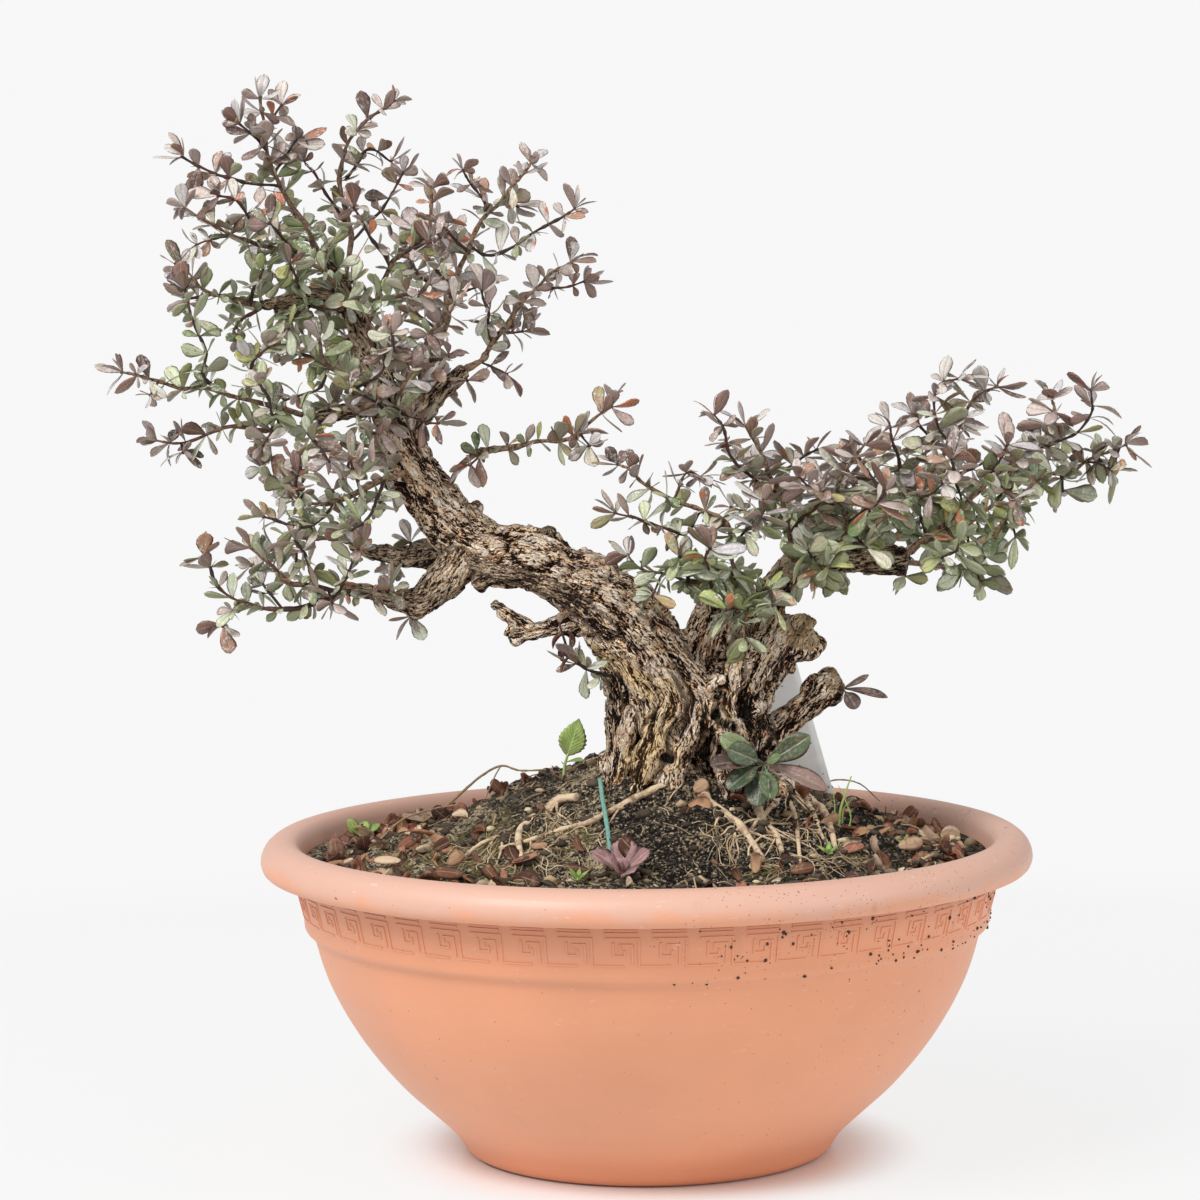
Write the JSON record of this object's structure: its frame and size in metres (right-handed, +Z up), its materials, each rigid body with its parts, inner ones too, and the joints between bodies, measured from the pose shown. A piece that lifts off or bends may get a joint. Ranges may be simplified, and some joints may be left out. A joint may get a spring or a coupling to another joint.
{
  "type": "bonsai tree in a round bowl",
  "caption": "Barberry bonsai with a leaning ridged trunk and two leafy crowns of small purple-green leaves, in a wide round terracotta-coloured bowl of compost.",
  "frame": {"origin": "centre of the flat base of the bowl", "axes": "+Z up, +X to the right as the picture shows the tree, +Y away from the viewer; the tall crown is on the -X side"},
  "size_m": [0.5381, 0.4, 0.5581],
  "materials": {
    "terracotta_plastic": "moulded plastic in terracotta colour, matte",
    "compost": "damp peat compost with bits of bark, matte",
    "bark": "old fibrous ridged bark, rough",
    "leaf_purple": "purple-grey leaves with a dusty bloom, satin",
    "leaf_green": "grey-green leaves with a dusty bloom, satin",
    "leaf_bright": "fresh green leaves of small weeds, satin",
    "weed_purple": "pink-purple leaves of a small weed, satin",
    "label_plastic": "pale grey strip, blank, specked with soil",
    "wire_coat": "teal coated garden wire, satin"
  },
  "bodies": {
    "root": {"back_left": "leaf_green", "back_low": "leaf_green", "back_mid": "leaf_green", "back_right": "leaf_green", "back_top": "leaf_purple", "basal_sprout": "leaf_green", "bowl": "terracotta_plastic", "crown_centre": "leaf_green", "crown_fill": "leaf_green", "crown_front_twig": "leaf_green", "crown_high_twig": "leaf_purple", "crown_left": "leaf_purple", "crown_tip": "leaf_purple", "dark_branch": "leaf_green", "grass_blade": "leaf_bright", "left_branch": "leaf_purple", "left_lower_branch": "leaf_green", "left_shoulder": "leaf_green", "low_front": "leaf_green", "low_left": "leaf_green", "lowest_left": "leaf_green", "middle_twig": "leaf_green", "pad_arch": "leaf_green", "pad_back": "leaf_purple", "pad_back_left": "leaf_green", "pad_back_right": "leaf_green", "pad_front_rosette": "leaf_green", "pad_hanging": "leaf_green", "pad_left_long": "leaf_green", "pad_left_low": "leaf_green", "pad_mid": "leaf_green", "pad_right": "leaf_purple", "pad_top": "leaf_purple", "pad_up_left": "leaf_purple", "plant_label": "label_plastic", "right_high": "leaf_purple", "right_mid": "leaf_purple", "seedling": "leaf_bright", "soil": "compost", "stub_sprout": "leaf_purple", "tie_wire": "wire_coat", "trunk": "bark", "trunk_sprout": "leaf_green", "weed_far_right": "leaf_bright", "weed_left": "leaf_bright", "weed_purple": "weed_purple", "weed_right": "leaf_bright", "weed_round": "leaf_bright", "weed_star": "leaf_bright"}
  },
  "joints": []
}
